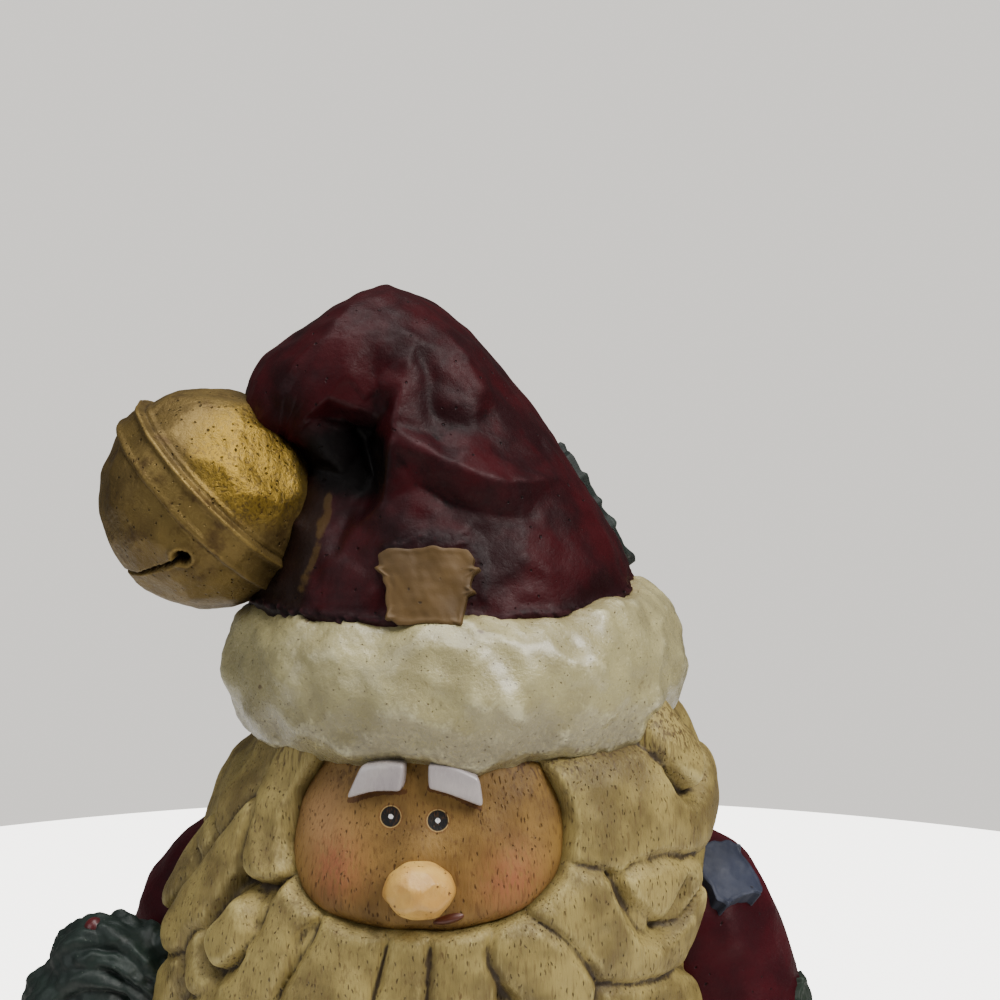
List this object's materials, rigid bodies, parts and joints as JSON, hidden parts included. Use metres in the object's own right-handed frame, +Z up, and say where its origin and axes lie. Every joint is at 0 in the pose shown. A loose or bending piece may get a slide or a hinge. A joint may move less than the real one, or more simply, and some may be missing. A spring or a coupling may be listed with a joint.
{
  "type": "santa figurine",
  "caption": "Cast resin santa figurine in a long coat, with a curled beard, floppy hat with a round bell and an evergreen wreath, standing on a low oval foot.",
  "frame": {"origin": "middle of the flat oval underside that the figurine stands on", "axes": "+Z up from the underside to the hat, -Y out of the face, +X to the right of someone who faces the figurine"},
  "size_m": [0.1264, 0.0927, 0.2146],
  "materials": {
    "painted_resin": "satin"
  },
  "bodies": {
    "root": {"santa_figurine": "painted_resin"}
  },
  "joints": []
}
